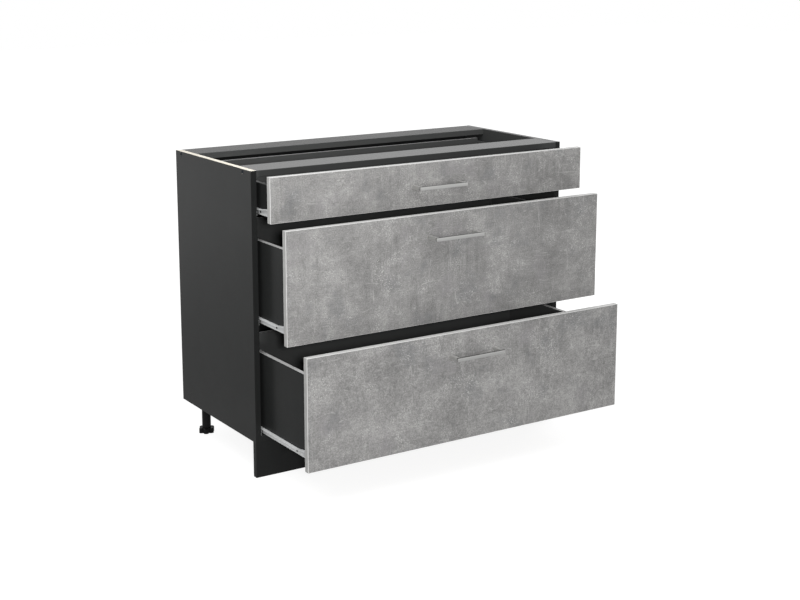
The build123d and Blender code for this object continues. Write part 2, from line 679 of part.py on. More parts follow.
def bar_handle(drawer):
    """Flat bar on two square legs."""
    z0 = drawer.front_top - HANDLE_DROP - HANDLE_HEIGHT / 2
    z1 = z0 + HANDLE_HEIGHT
    half = HANDLE_LENGTH / 2
    outer = -FRONT_THICKNESS - HANDLE_REACH
    bow = block(-half, half, outer, -FRONT_THICKNESS, z0, z1)
    bow = bow - block(HANDLE_LEG - half, half - HANDLE_LEG, outer + HANDLE_BAR, -FRONT_THICKNESS, z0, z1)
    bow = fillet(bow.edges().filter_by(Axis.Z).sort_by(Axis.Y)[:2], HANDLE_CORNER)
    return cut(bow, handle_screws(drawer, FIT))


# The nodes, each a list of separate solids

def twins(solids):
    """Right-hand pieces with their left-hand twins."""
    return [twin for solid in solids for twin in (solid, mirrored(solid))]


def carcass_nodes():
    right = side_panel()
    pegs = socket_pegs()
    nodes = {
        "side_panel_right": [right],
        "side_panel_left": [mirrored(right)],
        "bottom_panel": [bottom_panel()],
        "front_top_rail": [top_rail(0, RAIL_DEPTH)],
        "rear_top_rail": [top_rail(BACK_FACE - RAIL_DEPTH, BACK_FACE)],
        "back_panel": [back_panel()],
        "back_panel_pins": back_pins(),
        "plinth_panel": [plinth_panel()],
        "plinth_clips": twins([plinth_clip(LEG_X, LEG_FRONT_INSET)]),
        "leg_sockets": [leg_socket(x, y, pegs[name]) for name, x, y in leg_places()],
        "leg_tubes": [leg_tube(x, y) for _, x, y in leg_places()],
        "rail_screws": twins(rail_screws()),
        "screw_caps": twins(screw_caps()),
        "wood_dowels": twins(dowels()),
        "bottom_cam_fittings": twins(slotted_bottom_cams() + bottom_bolts()),
        "cabinet_runner_screws": twins(channel_screws()),
    }
    for name, x, y in leg_places():
        nodes["foot_" + name] = [leg_foot(x, y)]
    for drawer in DRAWERS:
        nodes["cabinet_runners_" + drawer.name] = twins([cabinet_runner(drawer), front_axle(drawer)])
        nodes["front_rollers_" + drawer.name] = twins([front_roller(drawer)])
    return nodes


def drawer_nodes(drawer):
    right = drawer_side(drawer)
    nodes = {
        "drawer_front": [drawer_front(drawer)],
        "handle": [bar_handle(drawer)],
        "handle_screws": handle_screws(drawer),
        "drawer_side_right": [right],
        "drawer_side_left": [mirrored(right)],
        "drawer_back": [drawer_back(drawer)],
        "drawer_bottom": [drawer_floor(drawer)],
        "drawer_runners": twins([drawer_runner(drawer), rear_axle(drawer)]),
        "drawer_screws": twins(runner_screws(drawer) + box_screws(drawer)),
        "front_cam_fittings": twins(slotted_box_cams(drawer) + box_bolts(drawer)),
        "rear_rollers": twins([rear_roller(drawer)]),
    }
    drawn_out = Pos(0, -drawer.opening, 0)
    return {f"{name}_{drawer.name}": [drawn_out * solid for solid in solids]
            for name, solids in nodes.items()}


def main():
    nodes = carcass_nodes()
    for drawer in DRAWERS:
        nodes.update(drawer_nodes(drawer))
        shut = CLOSED_GAP - drawer.opening
        print(f"{drawer.name} drawer: travel {shut:.2f} to {shut + TRAVEL:.2f}, lip {drawer.lip_top:.2f}")
    print(f"front roller radius {FRONT_ROLLER_RADIUS:.2f}, rear roller radius {REAR_ROLLER_RADIUS:.2f}")
    os.makedirs("parts", exist_ok=True)
    for name, solids in nodes.items():
        export_step(Compound(children=solids), f"parts/{name}.step")
    print(len(nodes), "nodes")


main()
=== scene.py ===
import math

import bmesh
import bpy
from bpy.props import FloatProperty, FloatVectorProperty, PointerProperty
from mathutils import Euler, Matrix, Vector


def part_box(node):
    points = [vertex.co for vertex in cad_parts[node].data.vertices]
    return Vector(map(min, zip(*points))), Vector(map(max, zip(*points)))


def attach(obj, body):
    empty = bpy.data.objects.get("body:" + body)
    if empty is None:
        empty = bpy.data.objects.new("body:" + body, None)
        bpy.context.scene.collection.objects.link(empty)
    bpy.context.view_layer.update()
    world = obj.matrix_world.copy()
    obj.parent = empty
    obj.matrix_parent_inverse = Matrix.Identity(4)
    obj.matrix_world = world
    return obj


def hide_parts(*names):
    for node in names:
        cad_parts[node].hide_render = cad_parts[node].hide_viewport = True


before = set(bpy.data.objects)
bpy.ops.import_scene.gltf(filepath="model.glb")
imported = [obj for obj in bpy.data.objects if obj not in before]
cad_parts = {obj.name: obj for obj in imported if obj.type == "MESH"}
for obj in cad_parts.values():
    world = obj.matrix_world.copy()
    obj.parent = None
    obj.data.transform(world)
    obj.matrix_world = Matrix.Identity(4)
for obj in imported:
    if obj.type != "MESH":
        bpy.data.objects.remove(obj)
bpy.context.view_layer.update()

bl_info = {
    "name": "Kitchen base cabinet",
    "version": (1, 0, 0),
    "blender": (4, 5, 0),
    "location": "3D View > Sidebar > Cabinet",
    "description": "Finishes, handles, fasteners and studio of a base cabinet with three drawers",
    "category": "Object",
}

LEVELS = ("top", "middle", "bottom")
CORNERS = ("front_left", "front_right", "rear_left", "rear_right")
FRONTWARD, UPWARD = (1, -1.0), (2, 1.0)     # axis and sign of the side that has an edge band

SAME_POINT = 1e-6           # corners this near to each other are one
SLIVER = 2e-6               # shorter edges are left over from a cut
INNER_SKIN = 0.0005         # how far past an inner face the inner tone still reaches
DIGITS = 5                  # fasteners are alike if their sizes agree to this many decimals
HEAD_RIM = 0.98             # points beyond this share of the radius belong to the head
DOME_POWER = 2.5            # how steeply a head's dome falls towards its rim
SECOND_SLOT = 0.94          # depth of a cross slot's second cut, as a share of the first
SHANK_ROOT = 0.15           # share of a head's height that its shank reaches into it
POINT_FROM = 0.95           # share of a shank's length where its point starts
POINT_TAPER = 0.85          # how much the shank narrows at its point
CORNER_STEPS, EASE_STEPS = 4, 3     # facets of a handle's outer corners and of its eased edges
SHARP_ANGLE = math.radians(32)      # steeper edges of a new piece are shaded sharp
EASED_ANGLE = math.radians(40)      # steeper edges of a handle are eased

FACING = 0.7                # a normal that leans more than this to a side faces it
BANDED = 0.6                # the same for the side that has an edge band
ELSEWHERE, FURTHER = (3.1, 1.7, 5.3), (9.2, 4.4, 1.9)   # steps to other parts of a pattern
BREAK_STEP = (7.3, 2.9, 4.1)        # step to the pattern that breaks strokes
BAR_TOP_SHADE, BAR_LEG_LIGHT = 0.22, 1.45       # painted shade on a handle's upper faces and painted light on its legs, as shares of its own tone

FLOOR_DROP = 0.0002         # the floor lies this much below the feet
FLOOR_FADE = 1.0, 4.5       # distances where the floor fades into the backdrop
FLOOR_LIT, FLOOR_SEEN = 0.42, 0.26      # floor's tone for the light it throws back and for the eye
GLOW, MIRRORED_GLOW = (0.88, 1.0), (0.35, 0.95)     # floor's own light, near and far
LAMP_AIM = Vector((0.0, 0.1, 0.4))
LAMPS = (                   # name, place and width
    ("key", (-1.15, -0.55, 2.05), 1.5),
    ("front", (-2.0, -3.25, 1.375), 0.22),
    ("low", (-1.5, -3.9, 0.65), 0.20),
    ("rear", (2.3, 1.5, 1.5), 1.2),
)


# Sizes and colours that a user may change

def colour(name, description, default):
    return FloatVectorProperty(name=name, description=description, default=default,
                               subtype="COLOR", size=3, min=0.0, max=1.0)


def length(name, description, default):
    return FloatProperty(name=name, description=description, default=default,
                         min=0.0, unit="LENGTH", precision=5)


def share(name, description, default):
    return FloatProperty(name=name, description=description, default=default,
                         min=0.0, max=1.0, subtype="FACTOR")


def angle(name, description, degrees):
    return FloatProperty(name=name, description=description, default=math.radians(degrees),
                         subtype="ANGLE")


def power(name, description, default):
    return FloatProperty(name=name, description=description, default=default, min=0.0, unit="POWER")


class CabinetColours(bpy.types.PropertyGroup):
    """Colours of the cabinet's finishes"""

    anthracite: colour("Anthracite", "Melamine of the carcass and the drawer boxes",
                       (0.0205, 0.0214, 0.0211))
    # painted light: faces that look inwards get a lighter copy of the anthracite, and the drawer boxes'
    # insides a lighter one still, in place of light reaching in
    inside: colour("Inside", "Melamine of the faces that look inwards", (0.052, 0.0535, 0.0530))
    lit_box_inside: colour("Box inside", "Melamine inside the drawer boxes", (0.080, 0.082, 0.081))
    edge_band: colour("Edge band", "Plastic edging of the dark boards", (0.0175, 0.0182, 0.0180))
    box_edging: colour("Box edging", "Light edging on top of the drawer boxes", (0.56, 0.56, 0.56))
    # painted shade: the upper drawer's sides have the same light edging, painted dark where the top rail
    # shades it
    shaded_edging: colour("Dark edging", "Edging on top of the upper drawer's sides",
                        (0.045, 0.046, 0.0455))
    chip_pale: colour("Pale chip", "Light chips in the boards' raw edges", (0.95, 0.92, 0.84))
    chip_dark: colour("Dark chip", "Dark chips in the boards' raw edges", (0.76, 0.68, 0.54))
    concrete_dark: colour("Dark concrete", "Deep tone of the fronts' decor", (0.195, 0.193, 0.190))
    concrete_pale: colour("Pale concrete", "Light tone of the fronts' decor", (0.384, 0.378, 0.371))
    concrete_mauve: colour("Mauve concrete", "Cool tint in some patches of the decor",
                           (0.292, 0.281, 0.288))
    concrete_slate: colour("Slate concrete", "Dark washes in the decor", (0.160, 0.165, 0.170))
    concrete_fleck: colour("Concrete fleck", "Light grains in the decor", (0.62, 0.615, 0.60))
    front_edging: colour("Front edging", "Edging round the fronts", (0.40, 0.40, 0.39))
    # painted light: the fronts' edging gets a lighter copy on its top faces, and its rim strip and
    # rounded arrises a painted highlight
    lit_front_crest: colour("Front crest", "Edging on top of the fronts", (0.57, 0.57, 0.56))
    front_arris_highlight: colour("Front arris", "Light line along the fronts' edges", (0.74, 0.74, 0.73))
    bar_steel: colour("Bar steel", "Brushed steel of the handles", (0.54, 0.54, 0.53))
    runner_paint: colour("Runner paint", "Coat of the runners", (0.71, 0.72, 0.72))
    zinc: colour("Zinc", "Plated fittings and screws", (0.50, 0.51, 0.53))
    screw_black: colour("Black screw", "Black phosphated screws", (0.018, 0.018, 0.019))
    nylon: colour("Nylon", "Rollers", (0.011, 0.011, 0.0115))
    plastic: colour("Black plastic", "Legs, feet, sockets and clips", (0.0065, 0.0065, 0.0070))
    cap: colour("Cap", "Cover caps of the rail screws", (0.015, 0.018, 0.023))
    beech_pale: colour("Pale beech", "Light wood of the dowels", (0.60, 0.43, 0.26))
    beech_dark: colour("Dark beech", "Dark wood of the dowels", (0.42, 0.27, 0.14))
    hardboard: colour("Hardboard", "Bare rear side of the thin boards", (0.205, 0.118, 0.058))


class CabinetSizes(bpy.types.PropertyGroup):
    """Sizes of the pieces that are modelled here"""

    handle_bar: length("Bar thickness", "Thickness of a handle's bar, front to back", 0.006)
    handle_leg: length("Leg width", "Width of a handle's legs", 0.010)
    handle_corner: length("Outer corner", "Rounding of a handle's two outer corners", 0.0006)
    handle_ease: length("Eased edge", "Rounding of a handle's long edges", 0.0003)
    slot_share: share("Slot length", "Cross slot's length as a share of the screw head's width", 0.62)
    slot_width: share("Slot width", "Cross slot's width as a share of its length", 0.26)
    slot_depth: share("Slot depth", "Cross slot's depth as a share of the head's height", 0.70)
    crown: share("Crown", "How much of a screw head's height is domed", 0.45)
    cap_crown: length("Cap crown", "How far a cap's rim lies below its middle", 0.0003)
    edging: length("Edging", "Thickness of the fronts' edging", 0.001)


class CabinetStage(bpy.types.PropertyGroup):
    """Camera, lights and floor"""

    eye: FloatVectorProperty(name="Camera place", description="Where the camera stands",
                             subtype="TRANSLATION", unit="LENGTH", default=(-2.1519, -3.2297, 1.3877))
    yaw: angle("Turn", "Camera's turn to the right", 33.045)
    pitch: angle("Tilt", "Camera's tilt downwards", 11.247)
    lens: FloatProperty(name="Lens", description="Focal length in millimetres", default=65.22, min=1.0)
    shift: FloatProperty(name="Shift", description="Upward shift of the lens as a share of the width",
                         default=-0.09)
    key_power: power("Key light", "Power of the lamp above the left side", 24.0)
    front_power: power("Front light", "Power of the lamp before the fronts", 48.0)
    low_power: power("Low light", "Power of the lamp low before the fronts", 32.0)
    rear_power: power("Rear light", "Power of the lamp behind the right side", 34.0)
    sky: share("Sky", "Light from all round", 0.42)
    floor_size: length("Floor", "Width of the floor", 30.0)


# Node trees

def rgba(tone, factor=1.0):
    """A tone as a socket takes it, made darker or lighter by a factor."""
    return (*(min(1.0, factor * part) for part in tone), 1.0)


class Net:
    """Adds nodes to a tree and joins them, so that a recipe reads from top to bottom."""

    def __init__(self, tree):
        self.tree = tree

    def join(self, value, socket):
        if isinstance(value, bpy.types.NodeSocket):
            self.tree.links.new(value, socket)
        else:
            socket.default_value = value

    def add(self, kind, inputs=(), **settings):
        node = self.tree.nodes.new(kind)
        for name, value in settings.items():
            setattr(node, name, value)
        for key, value in dict(inputs).items():
            self.join(value, node.inputs[key])
        return node

    def sum(self, operation, *values, clamp=False):
        return self.add("ShaderNodeMath", enumerate(values), operation=operation,
                        use_clamp=clamp).outputs[0]

    def times(self, first, second):
        return self.sum("MULTIPLY", first, second)

    def vector(self, operation, *values):
        return self.add("ShaderNodeVectorMath", enumerate(values), operation=operation).outputs[0]

    def point(self, **parts):
        """A vector from its X, Y and Z."""
        return self.add("ShaderNodeCombineXYZ", parts).outputs[0]

    def split(self, value):
        return self.add("ShaderNodeSeparateXYZ", {0: value}).outputs

    def centred(self, value):
        """How far a pattern's value lies above its middle."""
        return self.sum("SUBTRACT", value, 0.5)

    def contrast(self, value, amount):
        """A pattern with its values spread about their middle."""
        return self.sum("ADD", self.times(self.centred(value), amount), 0.5, clamp=True)

    def ramp(self, value, low, high, first=0.0, last=1.0, smooth=True):
        """Goes from first to last while the value goes from low to high."""
        return self.add("ShaderNodeMapRange", {0: value, 1: low, 2: high, 3: first, 4: last},
                        interpolation_type="SMOOTHSTEP" if smooth else "LINEAR").outputs[0]

    def spread(self, value, first=0.0, last=1.0):
        """Goes from first to last over most of a pattern's range."""
        return self.ramp(value, 0.2, 0.8, first, last)

    def mix(self, factor, first, second):
        """A colour between two."""
        return self.add("ShaderNodeMix", {0: factor, 6: first, 7: second}, data_type="RGBA").outputs[2]

    def tones(self, factor, tone, low, high):
        """A tone that goes from low to high times itself."""
        return self.mix(factor, rgba(tone, low), rgba(tone, high))

    def blend(self, factor, first, second):
        """A value between two."""
        return self.add("ShaderNodeMix", {0: factor, 2: first, 3: second}, data_type="FLOAT").outputs[0]

    def noise(self, place, scale, detail=2.0, rough=0.5):
        return self.add("ShaderNodeTexNoise", {"Vector": place, "Scale": scale, "Detail": detail,
                                               "Roughness": rough})

    def cells(self, place, scale, feature="F1"):
        return self.add("ShaderNodeTexVoronoi", {"Vector": place, "Scale": scale}, feature=feature)

    def bump(self, height, distance, strength=1.0):
        return self.add("ShaderNodeBump", {"Height": height, "Distance": distance,
                                           "Strength": strength}).outputs[0]

    def place(self):
        return self.add("ShaderNodeTexCoord").outputs["Object"]

    def facing(self):
        return self.add("ShaderNodeNewGeometry").outputs["True Normal"]

    def moved(self, shape, step):
        return self.add("GeometryNodeTransform", {"Geometry": shape, "Translation": step}).outputs[0]

    def pushed(self, shape, offset):
        return self.add("GeometryNodeSetPosition", {"Geometry": shape, "Offset": offset}).outputs[0]


def socket_sort(default):
    """The sort of socket for a default; a word names the sort where there is no default."""
    if isinstance(default, str):
        return default
    if isinstance(default, tuple):
        return "Vector" if len(default) == 3 else "Color"
    return "Int" if isinstance(default, int) else "Float"


def new_group(name, inputs, outputs, kind="ShaderNodeTree"):
    """A new node group with the named sockets; gives its net, its inputs and its outputs."""
    tree = bpy.data.node_groups.new(name, kind)
    for way, sockets in (("INPUT", inputs), ("OUTPUT", outputs)):
        for label, default in sockets.items():
            socket = tree.interface.new_socket(
                label, in_out=way, socket_type="NodeSocket" + socket_sort(default))
            if not isinstance(default, str):
                socket.default_value = default
    return Net(tree), tree.nodes.new("NodeGroupInput").outputs, tree.nodes.new("NodeGroupOutput").inputs


EFFECTS = {}


def effect(maker):
    """Builds a shader group at its first use; each use places it in a net and gives its outputs."""
    def placed(net, **inputs):
        if maker.__name__ not in EFFECTS:
            EFFECTS[maker.__name__] = maker()
        return net.add("ShaderNodeGroup", inputs, node_tree=EFFECTS[maker.__name__]).outputs
    return placed


@effect
def cloud():
    """Soft patches: noise whose place is itself pushed about."""
    net, given, out = new_group(
        "Cloud", {"Vector": "Vector", "Scale": 10.0, "Warp": 0.0, "Contrast": 1.0}, {"Value": "Float"})
    push = net.noise(given["Vector"], given["Scale"]).outputs["Color"]
    push = net.vector("SUBTRACT", push, (0.5, 0.5, 0.5))
    push = net.add("ShaderNodeVectorMath", {0: push, "Scale": given["Warp"]}, operation="SCALE")
    pushed = net.vector("ADD", given["Vector"], push.outputs[0])
    value = net.noise(pushed, given["Scale"], detail=5.0, rough=0.62).outputs[0]
    net.join(net.contrast(value, given["Contrast"]), out["Value"])
    return net.tree


@effect
def flecks():
    """Small separate spots: some of the cells of a pattern, each with a soft rim."""
    net, given, out = new_group(
        "Flecks", {"Vector": "Vector", "Scale": 300.0, "Size": 0.3, "Share": 0.3}, {"Mask": "Float"})
    pattern = net.cells(given["Vector"], given["Scale"])
    pick = net.split(pattern.outputs["Color"])[0]
    spot = net.ramp(pattern.outputs["Distance"], given["Size"], net.times(given["Size"], 0.5))
    chosen = net.sum("LESS_THAN", pick, given["Share"])
    net.join(net.times(spot, chosen), out["Mask"])
    return net.tree


@effect
def drawn_lines():
    """Streaks along one direction: noise on a stretched place."""
    net, given, out = new_group(
        "Drawn lines",
        {"Vector": "Vector", "Stretch": (1.0, 1.0, 1.0), "Contrast": 1.0}, {"Value": "Float"})
    stretched = net.vector("MULTIPLY", given["Vector"], given["Stretch"])
    value = net.noise(stretched, 1.0, detail=3.0, rough=0.6).outputs[0]
    net.join(net.contrast(value, given["Contrast"]), out["Value"])
    return net.tree


@effect
def trowel_strokes():
    """Thin bent strokes: where a soft noise passes its middle, broken into short lengths."""
    net, given, out = new_group(
        "Trowel strokes",
        {"Vector": "Vector", "Stretch": (1.0, 1.0, 1.0), "Width": 0.02, "Break": 0.5},
        {"Mask": "Float"})
    laid = net.vector("MULTIPLY", given["Vector"], given["Stretch"])
    wave = net.noise(laid, 1.0, detail=1.0).outputs[0]
    line = net.ramp(net.sum("ABSOLUTE", net.centred(wave)), given["Width"], 0.0)
    kept = net.noise(net.vector("ADD", laid, BREAK_STEP), 1.7).outputs[0]
    kept = net.ramp(kept, given["Break"], net.sum("ADD", given["Break"], 0.10))
    net.join(net.times(line, kept), out["Mask"])
    return net.tree


@effect
def fine_grain():
    """Pearl grain of melamine, moulded plastic and paint."""
    net, given, out = new_group("Fine grain", {"Vector": "Vector", "Scale": 900.0}, {"Height": "Float"})
    pearl = net.cells(given["Vector"], given["Scale"], "SMOOTH_F1").outputs["Distance"]
    soft = net.noise(given["Vector"], given["Scale"], detail=1.0).outputs[0]
    net.join(net.blend(0.5, pearl, soft), out["Height"])
    return net.tree


@effect
def raw_edges():
    """Which of a board's faces are bare, by the way that they face."""
    net, given, out = new_group(
        "Raw edges",
        {"Normal": "Vector", "Up": 0.0, "Down": 0.0, "Rear": 0.0, "Ends": 0.0}, {"Mask": "Float"})
    x, y, z = net.split(given["Normal"])
    mask = 0.0
    for label, lean in (("Up", z), ("Down", net.times(z, -1.0)), ("Rear", y),
                        ("Ends", net.sum("ABSOLUTE", x))):
        shown = net.times(net.sum("GREATER_THAN", lean, FACING), given[label])
        mask = net.sum("ADD", mask, shown, clamp=True)
    net.join(mask, out["Mask"])
    return net.tree


@effect
def chipboard():
    """Pressed wood chips, as a sawn edge shows them."""
    net, given, out = new_group(
        "Chipboard",
        {"Vector": "Vector", "Pale": (0.8, 0.7, 0.5, 1.0), "Dark": (0.4, 0.3, 0.2, 1.0)},
        {"Color": "Color", "Height": "Float"})
    chips = net.cells(net.vector("MULTIPLY", given["Vector"], (420.0, 260.0, 420.0)), 1.0)
    tone = net.split(chips.outputs["Color"])[1]
    dust = net.noise(given["Vector"], 1400.0, detail=3.0, rough=0.7).outputs[0]
    tone = net.blend(0.35, tone, dust)
    pale = net.ramp(tone, 0.1, 0.62, smooth=False)
    net.join(net.mix(pale, given["Dark"], given["Pale"]), out["Color"])
    net.join(net.sum("SUBTRACT", tone, chips.outputs["Distance"]), out["Height"])
    return net.tree


@effect
def rim_band():
    """A band along the outline of an upright board that faces front and rear."""
    net, given, out = new_group(
        "Rim band",
        {"Vector": "Vector", "Middle": "Vector", "Half": "Vector", "Width": 0.001}, {"Mask": "Float"})
    away = net.vector("ABSOLUTE", net.vector("SUBTRACT", given["Vector"], given["Middle"]))
    left = net.split(net.vector("SUBTRACT", given["Half"], away))
    nearest = net.sum("MINIMUM", left[0], left[2])
    net.join(net.sum("LESS_THAN", nearest, given["Width"]), out["Mask"])
    return net.tree


# Finishes

def finish(name, specular=0.5, metallic=0.0):
    """A new material; gives it, its net and its shader's sockets."""
    made = bpy.data.materials.new(name)
    made.use_nodes = True
    shader = made.node_tree.nodes["Principled BSDF"]
    shader.inputs["Specular IOR Level"].default_value = specular
    shader.inputs["Metallic"].default_value = metallic
    return made, Net(made.node_tree), shader.inputs


def board_finish(name, colours, inside, band, specular, **raw):
    """Anthracite melamine with an edge band on one side and bare chipboard on the faces named.

    inside is how far from the cabinet's middle plane the inner faces reach, and the lighter tone painted
    on them as painted light;
    band is the side that the edge band is on, and its tone, which some callers use for painted light or
    painted shade.
    """
    inner, lit_inner_tone = inside
    (axis, sign), band_tone = band
    made, net, shader = finish(name, specular=specular)
    place, facing = net.place(), net.facing()
    bare = raw_edges(net, Normal=facing, **raw)["Mask"]
    chips = chipboard(net, Vector=place, Pale=rgba(colours.chip_pale), Dark=rgba(colours.chip_dark))
    haze = cloud(net, Vector=place, Scale=7.0, Warp=0.02, Contrast=1.0)["Value"]
    grain = fine_grain(net, Vector=place, Scale=1100.0)["Height"]
    dark = net.tones(net.ramp(haze, 0.3, 0.7), colours.anthracite, 0.93, 1.06)
    # painted light: faces within that reach of the middle plane get the lighter inner tone
    painted_inside_mask = net.sum("LESS_THAN", net.sum("ABSOLUTE", net.split(place)[0]), inner)
    dark = net.mix(painted_inside_mask, dark, rgba(lit_inner_tone))
    banded = net.sum("GREATER_THAN", net.times(net.split(facing)[axis], sign), BANDED)
    dark = net.mix(banded, dark, rgba(band_tone))
    net.join(net.mix(bare, dark, chips["Color"]), shader["Base Color"])
    net.join(net.blend(bare, net.spread(grain, 0.24, 0.28), 0.9), shader["Roughness"])
    relief = net.blend(bare, net.times(grain, 0.01), chips["Height"])
    net.join(net.bump(relief, 0.0002), shader["Normal"])
    return made


def thin_board_finish(colours):
    """Hardboard with a dark printed face inside and its bare brown side behind and below."""
    made, net, shader = finish("thin_board", specular=0.15)
    place = net.place()
    bare = raw_edges(net, Normal=net.facing(), Down=1.0, Rear=1.0, Ends=1.0)["Mask"]
    fibre = drawn_lines(net, Vector=place, Stretch=(260.0, 260.0, 700.0), Contrast=1.6)["Value"]
    patch = cloud(net, Vector=place, Scale=9.0, Warp=0.03, Contrast=1.8)["Value"]
    grain = fine_grain(net, Vector=place, Scale=1100.0)["Height"]
    spots = flecks(net, Vector=place, Scale=420.0, Size=0.35, Share=0.12)["Mask"]
    brown = net.tones(net.blend(0.55, fibre, patch), colours.hardboard, 0.55, 1.45)
    brown = net.mix(net.times(spots, 0.5), brown, rgba(colours.hardboard, 0.4))
    dark = net.tones(net.ramp(patch, 0.3, 0.7), colours.anthracite, 0.95, 1.1)
    net.join(net.mix(bare, dark, brown), shader["Base Color"])
    net.join(net.blend(bare, net.spread(grain, 0.40, 0.5), net.spread(fibre, 0.55, 0.75)),
             shader["Roughness"])
    net.join(net.bump(net.blend(bare, net.times(grain, 0.2), fibre), 0.0001), shader["Normal"])
    return made


def concrete_finish(name, colours, low, high, edging):
    """Printed concrete with clouds, dark washes, flecks and trowel strokes; pale edging round it, with
    painted light on its top faces and a painted highlight on its rim and arrises.
    """
    made, net, shader = finish(name, specular=0.22)
    place, facing = net.place(), net.facing()
    elsewhere, further = (net.vector("ADD", place, step) for step in (ELSEWHERE, FURTHER))

    def patches(origin, scale, warp, contrast):
        return cloud(net, Vector=origin, Scale=scale, Warp=warp, Contrast=contrast)["Value"]

    def spots(origin, scale, size, part):
        return flecks(net, Vector=origin, Scale=scale, Size=size, Share=part)["Mask"]

    broad, patch = patches(place, 4.2, 0.08, 1.5), patches(place, 14.0, 0.03, 1.5)
    mottle, grain = patches(place, 70.0, 0.006, 1.7), patches(place, 300.0, 0.0, 2.0)
    where = patches(elsewhere, 6.0, 0.05, 1.6)
    tone = 0.5
    for value, weight in ((broad, 0.90), (patch, 0.90), (mottle, 0.50), (grain, 1.20)):
        tone = net.sum("MULTIPLY_ADD", net.centred(value), weight, tone)
    # Streaks: origin, stretch, contrast, where they start and are full, weight
    for origin, stretch, contrast, start, full, weight in (
            (place, (95.0, 20.0, 7.0), 1.8, 0.40, 0.72, 0.60),
            (elsewhere, (8.0, 20.0, 90.0), 1.8, 0.58, 0.30, 0.34),
            (elsewhere, (360.0, 20.0, 30.0), 2.4, 0.46, 0.66, 0.35),
            (place, (30.0, 20.0, 360.0), 2.2, 0.50, 0.30, 0.25)):
        lines = drawn_lines(net, Vector=origin, Stretch=stretch, Contrast=contrast)["Value"]
        lines = net.times(net.centred(lines), net.ramp(where, start, full))
        tone = net.sum("MULTIPLY_ADD", lines, weight, tone)

    decor = net.mix(tone, rgba(colours.concrete_dark), rgba(colours.concrete_pale))
    tint = net.ramp(patches(elsewhere, 9.0, 0.04, 1.5), 0.55, 0.8)
    decor = net.mix(net.times(tint, 0.45), decor, rgba(colours.concrete_mauve))
    wash = net.ramp(patches(further, 10.0, 0.05, 1.7), 0.55, 0.82)
    wash = net.times(wash, net.ramp(mottle, 0.15, 0.7, 0.35, 1.0))
    decor = net.mix(net.times(wash, 0.60), decor, rgba(colours.concrete_slate))
    gathered = net.ramp(net.ramp(patch, 0.42, 0.70), 0.0, 1.0, 0.10, 1.0)
    light = net.sum("MAXIMUM", spots(place, 300.0, 0.42, 0.30), spots(elsewhere, 560.0, 0.45, 0.22))
    decor = net.mix(net.times(light, gathered), decor, rgba(colours.concrete_fleck))
    pits = spots(elsewhere, 240.0, 0.30, 0.10)
    decor = net.mix(net.times(pits, 0.5), decor, rgba(colours.concrete_dark))
    # Strokes: origin, stretch, width, break, strength, colour
    for origin, stretch, width, gap, strength, shade in (
            (place, (6.0, 20.0, 34.0), 0.012, 0.55, 0.36, colours.concrete_fleck),
            (elsewhere, (34.0, 20.0, 6.0), 0.012, 0.55, 0.36, colours.concrete_fleck),
            (place, (40.0, 20.0, 110.0), 0.050, 0.54, 0.22, colours.concrete_fleck),
            (elsewhere, (110.0, 20.0, 36.0), 0.050, 0.54, 0.36, colours.concrete_dark),
            (elsewhere, (24.0, 20.0, 9.0), 0.014, 0.53, 0.42, colours.concrete_dark)):
        stroke = trowel_strokes(net, Vector=origin, Stretch=stretch, Width=width, Break=gap)["Mask"]
        decor = net.mix(net.times(stroke, strength), decor, rgba(shade))

    middle, half = (high + low) / 2, (high - low) / 2
    rim = rim_band(net, Vector=place, Middle=middle, Half=half, Width=edging)["Mask"]
    frontal = net.sum("ABSOLUTE", net.split(facing)[1])
    rim = net.sum("MAXIMUM", rim, net.ramp(frontal, 0.96, 0.85))
    pearl = fine_grain(net, Vector=place, Scale=1300.0)["Height"]
    # pale edging: its own tone on the end faces, painted light on the top faces, and a painted highlight
    # on the rim strip, which is the edging seen from the front, and on the arrises
    pale = net.tones(net.spread(mottle), colours.front_edging, 0.93, 1.05)
    painted_top = net.sum("GREATER_THAN", net.split(facing)[2], FACING)
    pale = net.mix(painted_top, pale, rgba(colours.lit_front_crest))
    pale = net.mix(net.sum("LESS_THAN", frontal, 0.05), rgba(colours.front_arris_highlight), pale)
    net.join(net.mix(rim, decor, pale), shader["Base Color"])
    net.join(net.blend(rim, net.spread(tone, 0.58, 0.44), net.spread(pearl, 0.34, 0.42)),
             shader["Roughness"])
    relief = net.sum("SUBTRACT", net.blend(0.5, grain, tone), net.times(pits, 0.6))
    net.join(net.bump(net.blend(rim, relief, net.times(pearl, 0.2)), 0.00018), shader["Normal"])
    return made


def steel_finish(name, tone, stretch, roughness, blotch=0.0, shade=None):
    """Steel with fine drawn lines, clouded where plated; shade, if given, paints light and shade into its
    tone in places.
    """
    made, net, shader = finish(name, metallic=1.0)
    place = net.place()
    lines = drawn_lines(net, Vector=place, Stretch=stretch, Contrast=1.6)["Value"]
    cloudy = cloud(net, Vector=place, Scale=160.0, Warp=0.002, Contrast=1.6)["Value"]
    value = net.blend(blotch, lines, cloudy)
    metal = net.tones(value, tone, 0.84, 1.14)
    net.join(shade(net, metal, tone) if shade else metal, shader["Base Color"])
    net.join(net.spread(value, roughness + 0.07, roughness - 0.05), shader["Roughness"])
    net.join(net.bump(value, 0.00004, 0.6), shader["Normal"])
    return made


def paint_handle_light_and_shade(net, metal, tone):
    """Painted shade on the upper faces of a handle, and painted light on its legs."""
    leg = net.add("ShaderNodeAttribute", attribute_name="leg", attribute_type="GEOMETRY").outputs["Fac"]
    painted_top = net.ramp(net.split(net.facing())[2], 0.5, 0.8)
    return net.mix(leg, net.mix(painted_top, metal, rgba(tone, BAR_TOP_SHADE)), rgba(tone, BAR_LEG_LIGHT))


